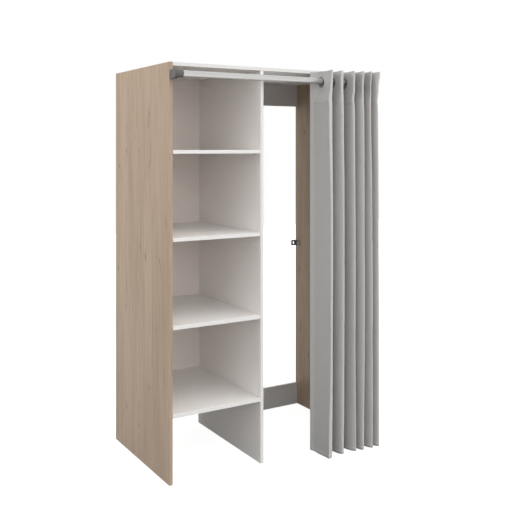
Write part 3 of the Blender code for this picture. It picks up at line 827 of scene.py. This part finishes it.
def make_bracket(name, side, material):
    """A cup for the rod's end, an arm round the board's front edge, and a plate on its inner face."""
    edge = CORNER.x if side == 1 else RIGHT_END
    bore = ROD_RADIUS + SEAT_GAP
    outer = bore + CUP_WALL
    face = CORNER.y
    cup_profile = [
        (outer - 0.0016, 0), (outer - 0.0005, 0.0005), (outer, 0.0016),
        (outer, CUP_LENGTH - 0.0008), (outer - 0.0003, CUP_LENGTH - 0.0002),
        (outer - 0.0009, CUP_LENGTH), (bore + 0.0006, CUP_LENGTH),
        (bore, CUP_LENGTH - 0.0006), (bore, 0.004),
    ]
    cup = turned(cup_profile, 72)
    set_down(cup, (edge, ROD_Y, ROD_Z), 90 * side, "Y")
    foot = ROD_Z - outer - 0.003
    arm_outline = [(face - SEAT_GAP, foot), (face - SEAT_GAP, ROD_Z + outer)]
    arm_outline += arc((ROD_Y, ROD_Z), outer - 0.0004, 90, 250, 24)
    arm_outline += [(ROD_Y + 0.004, foot + 0.0006), (ROD_Y + 0.012, foot)]
    arm = extruded(arm_outline, edge + side * 0.0007, edge + side * (BOARD + SEAT_GAP + 0.0026))
    tail = face + PLATE_DEPTH - PLATE_CORNER
    plate_outline = [(face - 0.006, ROD_Z - outer)]
    plate_outline += arc((tail, ROD_Z - outer + PLATE_CORNER), PLATE_CORNER, -90, 0, 8)
    plate_outline += arc((tail, ROD_Z + outer - PLATE_CORNER), PLATE_CORNER, 0, 90, 8)
    plate_outline += [(face - 0.006, ROD_Z + outer)]
    near = edge + side * (BOARD + SEAT_GAP)
    plate = extruded(plate_outline, near, near + side * PLATE_WALL)
    bracket = add_object(name + "_moulding", joined([cup, arm, plate]), material, 35)
    ease_edges(bracket, 0.0006)
    bracket.modifiers.new("joined_points", "WELD").merge_threshold = 0.00002
    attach(bracket, "root")
    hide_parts(name)


def screw_shape():
    """A pan-head wood screw with a cross recess. Its head is above Z zero."""
    shank = [(0.0005, -0.012), (0.0015, -0.0103), (0.0019, -0.0095)]
    turns = 9
    for i in range(turns):
        z = -0.0093 + 0.0085 * i / turns
        shank += [(0.0014, z), (0.0020, z + 0.0005)]
    head = [(0.0018, 0), (0.0038, 0), (0.0040, 0.0003), (0.0040, 0.0008)]
    head += [(0.0036, 0.0016), (0.0027, 0.0021), (0.0012, 0.0023)]
    screw = add_object("screw_blank", turned(shank + head, 24), None, 40)
    cutters = []
    for number, degrees in enumerate((0, 90)):
        blade = bmesh.new()
        bmesh.ops.create_cube(blade, size=1)
        for vertex in blade.verts:
            wide = 1.0 if vertex.co.z > 0 else 0.45
            vertex.co = Vector((vertex.co.x * 0.0044 * wide, vertex.co.y * 0.0008, vertex.co.z * 0.003))
        set_down(blade, (0, 0, 0.0024), degrees, "Z")
        cutters.append(add_object(f"recess_{number}", blade, None))
    return cut_out(screw, cutters, "screw_shape", None, 40)


def pin_shape():
    """A shelf pin: shank, collar and a stub with an eased end. The board's face is at Z zero."""
    profile = [
        (0.0016, -PIN_SHANK), (0.0023, -0.0087), (0.0025, -0.008), (0.0025, 0.0003),
        (0.0040, 0.0003), (0.0042, 0.0005), (0.0042, 0.0008), (0.0040, 0.0009),
        (0.0030, 0.0009), (0.0030, 0.0092), (0.0027, 0.0097), (0.0019, 0.0099),
    ]
    return add_object("pin_shape", turned(profile, 24), None, 35)


def middle(node):
    return sum(corners_of(node), Vector()) / 2


def set_fasteners(name, shape, ways, end, depth, material):
    """A fastener for each node, facing 1 or -1 along X. Its seat is a depth in from the end named."""
    points = []
    for node, way in ways.items():
        low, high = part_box(node)
        inwards = -way if end == "front" else way
        start = low[0] if inwards == 1 else high[0]
        centre = middle(node)
        points.append((start + inwards * depth, centre.y, centre.z))
    mesh = bpy.data.meshes.new(name)
    mesh.from_pydata(points, [], [])
    attribute = mesh.attributes.new("facing", "FLOAT_VECTOR", "POINT")
    attribute.data.foreach_set("vector", [value for way in ways.values() for value in (way, 0, 0)])
    values = {"Fastener": shape, "Size": 1.0, "Material": material}
    fasteners = grown(name, mesh, FASTENERS, values, 40)
    bpy.data.objects.remove(shape, do_unlink=True)
    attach(fasteners, "root")
    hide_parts(*ways)


def set_screws(material):
    ways = {
        f"{side}_rod_bracket_screw_{row}": way for side, way in SIDES for row in ("upper", "lower")
    }
    ways["wall_tie_screw"] = -1
    shape = screw_shape()
    set_fasteners("fitting_screws", shape, ways, "front", SCREW_HEAD, material)


def set_pins(material):
    ways = {
        f"shelf_pin_{number}_{side}_{row}": way
        for number in (1, 2, 3)
        for side, way in SIDES
        for row in ("front", "rear")
    }
    set_fasteners("shelf_pins", pin_shape(), ways, "rear", PIN_SHANK, material)


def make_wall_tie(material):
    """A bent strip of steel: a leg on the panel, a rounded bend, and a slotted leg on the wall."""
    low, high = corners_of("wall_tie_bracket")
    bend = (high.x - TIE_BEND, high.y - TIE_BEND)
    outline = [(low.x, high.y), (bend[0], high.y)]
    outline += arc(bend, TIE_BEND, 75, 15, 4)
    outline += [(high.x, bend[1]), (high.x, low.y)]
    outline += [(high.x - TIE_WALL, low.y), (high.x - TIE_WALL, bend[1])]
    outline += arc(bend, TIE_BEND - TIE_WALL, 15, 75, 4)
    outline += [(bend[0], high.y - TIE_WALL), (low.x, high.y - TIE_WALL)]
    bm = extruded(outline, low.z, high.z)
    for vertex in bm.verts:
        vertex.co = vertex.co.yzx
    bm.normal_update()
    tiny = 0.000001
    corners = [
        edge
        for edge in bm.edges
        if abs(edge.verts[0].co.z - edge.verts[1].co.z) < tiny
        and abs(edge.calc_length() - TIE_WALL) < 0.00001
        and any(all(abs(v.co[axis] - low[axis]) < tiny for v in edge.verts) for axis in (0, 1))
    ]
    bmesh.ops.bevel(bm, geom=corners, offset=TIE_CORNER, segments=5, profile=0.5, affect="EDGES")
    strip = add_object("wall_tie_blank", bm, material)
    slot = turned([(SLOT_RADIUS, -0.01), (SLOT_RADIUS, 0.01)], 32)
    for vertex in slot.verts:
        vertex.co.y += math.copysign(SLOT_STRETCH, vertex.co.y)
    set_down(slot, (high.x - 0.015, high.y, middle("wall_tie_bracket").z), 90, "X")
    screw = middle("wall_tie_screw")
    hole = turned([(SCREW_HOLE, -0.01), (SCREW_HOLE, 0.01)], 24)
    set_down(hole, (high.x, screw.y, screw.z), 90, "Y")
    cutters = [add_object("wall_slot", slot, None), add_object("screw_hole", hole, None)]
    tie = cut_out(strip, cutters, "wall_tie_strip", material, 35)
    ease_edges(tie, 0.00025)
    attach(tie, "root")
    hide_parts("wall_tie_bracket")


# Curtain


def make_ring(index, material):
    """An eyelet: a rolled flange on each face of the cloth and a barrel between them."""
    half = [
        (RING_BARREL, 0.0010), (RING_RIM - 0.0002, 0.0010), (RING_RIM, 0.0013),
        (RING_RIM - 0.0003, 0.0019), (RING_RIM - 0.0013, 0.0024), (RING_RIM - 0.0030, RING_FACE),
        (RING_RIM - 0.0048, 0.0026), (RING_BORE + 0.0012, 0.0023),
        (RING_BORE + 0.0004, 0.0018), (RING_BORE, 0.0011),
    ]
    profile = half + [(radius, -height) for radius, height in half[::-1]]
    bm = turned(profile, 56, closed=True)
    lean = math.atan(LEAN) * (1 if index % 2 == 0 else -1)
    turn = Matrix.Rotation(lean, 4, "Z") @ Matrix.Rotation(math.radians(90), 4, "Y")
    bm.transform(Matrix.Translation((RINGS[index], ROD_Y, RING_Z)) @ turn)
    number = f"{index + 1:02d}"
    ring = add_object(f"eyelet_ring_{number}", bm, material, 50)
    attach(ring, f"curtain_{number}")
    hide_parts(f"eyelet_{number}")
    return ring


def curve(start, start_pull, end, end_pull, count):
    """Points after start, up to end, on a cubic curve."""
    first, second = start + start_pull, end + end_pull
    points = []
    for i in range(1, count + 1):
        t = i / count
        s = 1 - t
        points.append(start * s**3 + first * (3 * s * s * t) + second * (3 * s * t * t) + end * t**3)
    return points


def half_fold(ring_x, tip, forward, side, rounding=0.0, free=False, away=0.0, lean=LEAN):
    """Plan points from an eyelet's centre out to the tip of the fold beside it. A free one is a flap."""
    heading = Vector((side * lean, -1 if forward else 1))
    centre = Vector((ring_x, ROD_Y))
    steps = 9
    reach = RING_BARREL if free else FLAT_REACH - FLAT_LOSS * away
    flat = [centre + heading * (reach * i / steps) for i in range(steps + 1)]
    deep = abs(tip.y - flat[-1].y)
    if free:
        ends = heading * deep * 0.45, (flat[-1] - tip) * 0.45
    else:
        straight = max(deep - 0.45 * rounding, 0.3 * deep) * (1 - 0.35 * away)
        room = side * (tip.x - flat[-1].x)
        pull = min(rounding * ROUND_PULL, max(0.75 * room, 0.0012))
        ends = heading * straight, Vector((-side * pull, 0))
    return flat + curve(flat[-1], ends[0], tip, ends[1], 18 if forward else 12)


def held(value):
    """A share, kept from 0 to 1."""
    return min(max(value, 0), 1)


def between(heights, values, z):
    """A value at height z, eased between the heights given."""
    for low, high, first, second in zip(heights, heights[1:], values, values[1:]):
        if z <= high:
            t = held((z - low) / (high - low))
            return first + (second - first) * t * t * (3 - 2 * t)
    return values[-1]


def fold_tip(before, z):
    """Plan place of the tip between eyelet `before` and the next one, and whether it is at the front."""
    if before % 2 == 1:
        return Vector(((RINGS[before] + RINGS[before + 1]) / 2, ROD_Y + BACK_REACH)), False
    lean = FRONT_LEANS[before // 2]
    shift = between(TIP_HEIGHTS, TIP_SHIFTS[before // 2], z) / 1000
    reach = FRONT_REACHES[before // 2] * between(TIP_HEIGHTS, REACH_SHARES, z)
    return Vector((RINGS[before] + lean + shift, ROD_Y - reach)), True


def away_from_rings(z):
    """0 at the height of the eyelets, and 1 well below them. It rises a little at the top edge."""
    heights = (RING_Z - 0.10, RING_Z - 0.028, RING_Z + 0.028, CLOTH_TOP)
    return between(heights, (1.0, 0.0, 0.0, 0.3), z)


def flap_path(z):
    """The leading flap, bent back behind its eyelet, and pulled nearly flat below it."""
    share = LEADING_PULL * away_from_rings(z)
    slope = leading_slope(z)
    result = []
    for point in half_fold(RINGS[0], FREE_EDGE, False, -1, free=True)[::-1]:
        flat_x = FREE_EDGE.x + slope * (point.y - FREE_EDGE.y)
        result.append(Vector((point.x + (flat_x - point.x) * share, point.y)))
    return result


def leading_slope(z):
    """Run in X to Y of the leading panel, from its free edge to just left of its front tip."""
    tip = fold_tip(0, z)[0]
    return (FREE_EDGE.x - tip.x + LEADING_BELLY) / (FREE_EDGE.y - tip.y)


def leading_half(tip, z, rounding):
    """The front half of the first fold, which hangs in line with the flap below the eyelets."""
    share = LEADING_PULL * away_from_rings(z)
    slope = leading_slope(z)
    at_rod = FREE_EDGE.x + slope * (ROD_Y - FREE_EDGE.y)
    bent = half_fold(RINGS[0], tip, True, 1, rounding)
    flat = half_fold(at_rod, tip, True, 1, rounding, lean=-slope)
    return [first.lerp(second, share) for first, second in zip(bent, flat)]


def swell_before(index):
    """How far the first half of a front fold stands to the left of its eyelet."""
    return SWELL_SHARES.get(index, 0.0) * (RINGS[index] - RINGS[index - 1])


def hung_x(index, z):
    """Where the cloth below an eyelet crosses the rod's line."""
    return RINGS[index] - swell_before(index) * away_from_rings(z)


def span_path(span, z):
    """Plan line of one length of cloth. Span 0 is the leading flap, and the last is the trailing one."""
    if span == 0:
        return flap_path(z)
    if span == FOLDS:
        end = Vector((RINGS[-1] + TRAILING_LEAN, ROD_Y + BACK_REACH))
        return half_fold(RINGS[-1], end, False, 1, free=True)
    tip, forward = fold_tip(span - 1, z)
    rounding = FOLD_ROUNDINGS[span // 2] if forward else BACK_ROUNDING
    away = away_from_rings(z) if forward else 0.0
    if span == 1:
        going = leading_half(tip, z, rounding)
    else:
        going = half_fold(hung_x(span - 1, z), tip, forward, 1, rounding, away=away)
    coming = half_fold(hung_x(span, z), tip, forward, -1, rounding)
    return going + coming[-2::-1]


def arc_lengths(path):
    lengths = [0.0]
    for first, second in zip(path, path[1:]):
        lengths.append(lengths[-1] + (second - first).length)
    return lengths


def left_of(run):
    return Vector((-run.y, run.x)).normalized()


def sideways(path):
    """The unit vector to the left of the line at each of its points."""
    last = len(path) - 1
    return [left_of(path[min(i + 1, last)] - path[max(i - 1, 0)]) for i in range(last + 1)]


def ripple(span, share, z):
    """Small unevenness of hanging cloth, nothing at the eyelets and in the header."""
    window = math.sin(math.pi * share) ** 2 if 0 < span < FOLDS else 0.0
    below = held((HEADER_SEAM - z) / 0.25)
    slow = noise.noise(Vector((span * 3.7, share * 1.6, z * 2.3)))
    quick = noise.noise(Vector((span * 5.1 + 40, share * 3.0, z * 7.0)))
    return window * (SLOW_RIPPLE * slow + QUICK_RIPPLE * quick) * (0.25 + 0.75 * below)


def edge_lift(point, from_tip, z):
    """How far the cloth stands up: its top edge at the right and the tips, its hem at the free edge."""
    start = RING_Z + 0.027
    share = held((z - start) / (CLOTH_TOP - start)) ** 2
    rightwards = held((point.x - RINGS[1]) / (RINGS[-1] - RINGS[1]))
    lift = share * (RIGHT_RISE * rightwards + TIP_RISE * math.exp(-((from_tip / 0.015) ** 2)))
    if point.x < RINGS[0] + 0.001:
        near_hem = held((CLOTH_BOTTOM + 0.15 - z) / 0.15)
        lift += HEM_RISE * near_hem * held((point.y - ROD_Y) / BACK_REACH)
    return lift


def even_rows(start, end, count):
    return [start + (end - start) * i / count for i in range(count + 1)]


def cloth_heights():
    """Heights of the cloth's rows, close together at the hems, the header seam and the eyelets."""
    rows = [CLOTH_BOTTOM + rise for rise in (0, 0.0015, 0.006)]
    rows += [BOTTOM_SEAM + rise for rise in (-0.003, -0.001, 0, 0.001, 0.004)]
    rows += even_rows(BOTTOM_SEAM + 0.014, HEADER_SEAM - 0.024, 62)
    near_seam = (0.001, 0.004, 0.009, 0.016)
    rows += [HEADER_SEAM - drop for drop in near_seam] + [HEADER_SEAM]
    rows += [HEADER_SEAM + rise for rise in near_seam + (0.025, 0.034, 0.043, 0.052, 0.061)]
    rows += even_rows(RING_Z - 0.030, RING_Z + 0.030, 20)
    rows += [RING_Z + 0.038, CLOTH_TOP - 0.004, CLOTH_TOP - 0.001, CLOTH_TOP]
    return sorted(set(rows))


def wall_share(z, from_edge):
    """Thickness of the cloth there, as a share of a hem's. It is pinched along each seam."""
    if min(abs(z - HEADER_SEAM), abs(z - BOTTOM_SEAM), abs(from_edge - SIDE_HEM)) < 0.0004:
        return 0.5
    if z > HEADER_SEAM or z < BOTTOM_SEAM or from_edge < SIDE_HEM:
        return 1.0
    return CLOTH_WALL / HEM_WALL


def make_cloth(span, start_u, material):
    """One length of cloth, from an eyelet's middle to the next one's, as a thin closed wall. Its UV map
    runs on from start_u, where the length before it ended."""
    reference = arc_lengths(span_path(span, 1.0))
    width = reference[-1]
    bm = bmesh.new()
    uv = bm.loops.layers.uv.new("cloth_uv")
    weights = bm.verts.layers.deform.new()
    rows = []
    heights = cloth_heights()
    for z in heights:
        path = span_path(span, z)
        row = []
        for point, side, length in zip(path, sideways(path), reference):
            place = point + side * ripple(span, length / width, z)
            from_tip = (point - fold_tip(span - 1, z)[0]).length if span % 2 == 1 else 1.0
            vertex = bm.verts.new((place.x, place.y, z + edge_lift(point, from_tip, z)))
            from_edge = length if span == 0 else width - length if span == FOLDS else 1.0
            vertex[weights][0] = wall_share(z, from_edge)
            row.append(vertex)
        rows.append(row)
    for low, high, low_z, high_z in zip(rows, rows[1:], heights, heights[1:]):
        for i in range(len(low) - 1):
            corners = (low[i], low[i + 1], high[i + 1], high[i])
            middle_y = sum(v.co.y for v in corners) / 4 - ROD_Y
            middle_z = sum(v.co.z for v in corners) / 4 - RING_Z
            if math.hypot(middle_y, middle_z) < CLOTH_HOLE:
                continue
            face = bm.faces.new(corners)
            lengths = (reference[i], reference[i + 1], reference[i + 1], reference[i])
            for loop, length, z in zip(face.loops, lengths, (low_z, low_z, high_z, high_z)):
                loop[uv].uv = (start_u + length, z)
    loose = [vertex for vertex in bm.verts if not vertex.link_faces]
    bmesh.ops.delete(bm, geom=loose, context="VERTS")
    blank = add_object("cloth_blank", bm, material)
    blank.vertex_groups.new(name="wall")
    wall = blank.modifiers.new("wall", "SOLIDIFY")
    wall.thickness = HEM_WALL
    wall.offset = 0
    wall.vertex_group = "wall"
    wall.use_even_offset = False
    return settled(blank, f"curtain_length_{span:02d}", material, 50), width


def side_seam_point(span, z, face):
    """Where the thread of the side hem lies at a height, on one face of the cloth."""
    path = span_path(span, z)
    lengths = arc_lengths(path)
    wanted = SIDE_HEM if span == 0 else lengths[-1] - SIDE_HEM
    i = min(max(k for k, length in enumerate(lengths) if length <= wanted), len(path) - 2)
    point = path[i].lerp(path[i + 1], (wanted - lengths[i]) / (lengths[i + 1] - lengths[i]))
    at = point + left_of(path[i + 1] - path[i]) * face * (CLOTH_WALL / 2 + 0.0002)
    return (at.x, at.y, z + edge_lift(point, 1.0, z))


def stitch_lines(span):
    """Lines for the thread on both faces of the cloth: the header seam and the hems."""
    lines = []
    stand = HEM_WALL * 0.5 * 0.5 + 0.00012
    for z in (HEADER_SEAM, BOTTOM_SEAM):
        path = span_path(span, z)
        lengths = arc_lengths(path)
        for face in (1, -1):
            line = []
            for point, side, length in zip(path, sideways(path), lengths):
                at = point + side * (ripple(span, length / lengths[-1], z) + face * stand)
                line.append((at.x, at.y, z + edge_lift(point, 1.0, z)))
            lines.append(line)
    if span in (0, FOLDS):
        for face in (1, -1):
            lines.append([side_seam_point(span, z, face) for z in cloth_heights()])
    verts, edges = [], []
    for line in lines:
        first = len(verts)
        verts.extend(line)
        edges.extend((first + i, first + i + 1) for i in range(len(line) - 1))
    mesh = bpy.data.meshes.new("stitch_lines")
    mesh.from_pydata(verts, edges, [])
    return mesh


def hang_curtain(cloth_material, thread_material, ring_material):
    rings = [make_ring(index, ring_material) for index in range(FOLDS)]
    values = {**STITCH_SIZES, "Material": thread_material}
    total = 0.0
    for span in range(FOLDS + 1):
        cloth, width = make_cloth(span, total, cloth_material)
        stitches = grown(f"curtain_stitches_{span:02d}", stitch_lines(span), STITCHES, values)
        numbers = [number for number in (span, span + 1) if 1 <= number <= FOLDS]
        bodies = [f"curtain_{number:02d}" for number in numbers]
        for piece in (cloth, stitches):
            if len(bodies) == 2:
                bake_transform(piece)
            else:
                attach(piece, bodies[0])
        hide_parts(*[f"curtain_cloth_{number:02d}" for number in numbers])
        total += width


bpy.context.scene.view_settings.view_transform = "Standard"
place_camera()
light_the_room()
place_softbox()
lay_floor()
dress_boards()
make_rod(metal("satin_tube", (0.545, 0.54, 0.53), 0.34, 0.10, (5, 700, 700), 0.8))
plastic = moulded_plastic()
for side, way in SIDES:
    make_bracket(side + "_rod_bracket", way, plastic)
set_screws(metal("zinc_screw", (0.62, 0.62, 0.60), 0.34, 0.2, (600, 600, 600), 1.0))
set_pins(metal("nickel_pin", (0.64, 0.63, 0.60), 0.26, 0.15, (60, 900, 900), 1.0))
make_wall_tie(metal("dark_tie_steel", (0.16, 0.15, 0.14), 0.45, 0.2, (300, 900, 60), 0.8))
hang_curtain(
    woven_cloth("grey_cloth", (0.478, 0.471, 0.463, 1), 0.0009, 0.12),
    sewing_thread(),
    metal("satin_eyelet", (0.40, 0.397, 0.39), 0.38, 0.12, (500, 500, 500), 1.0),
)
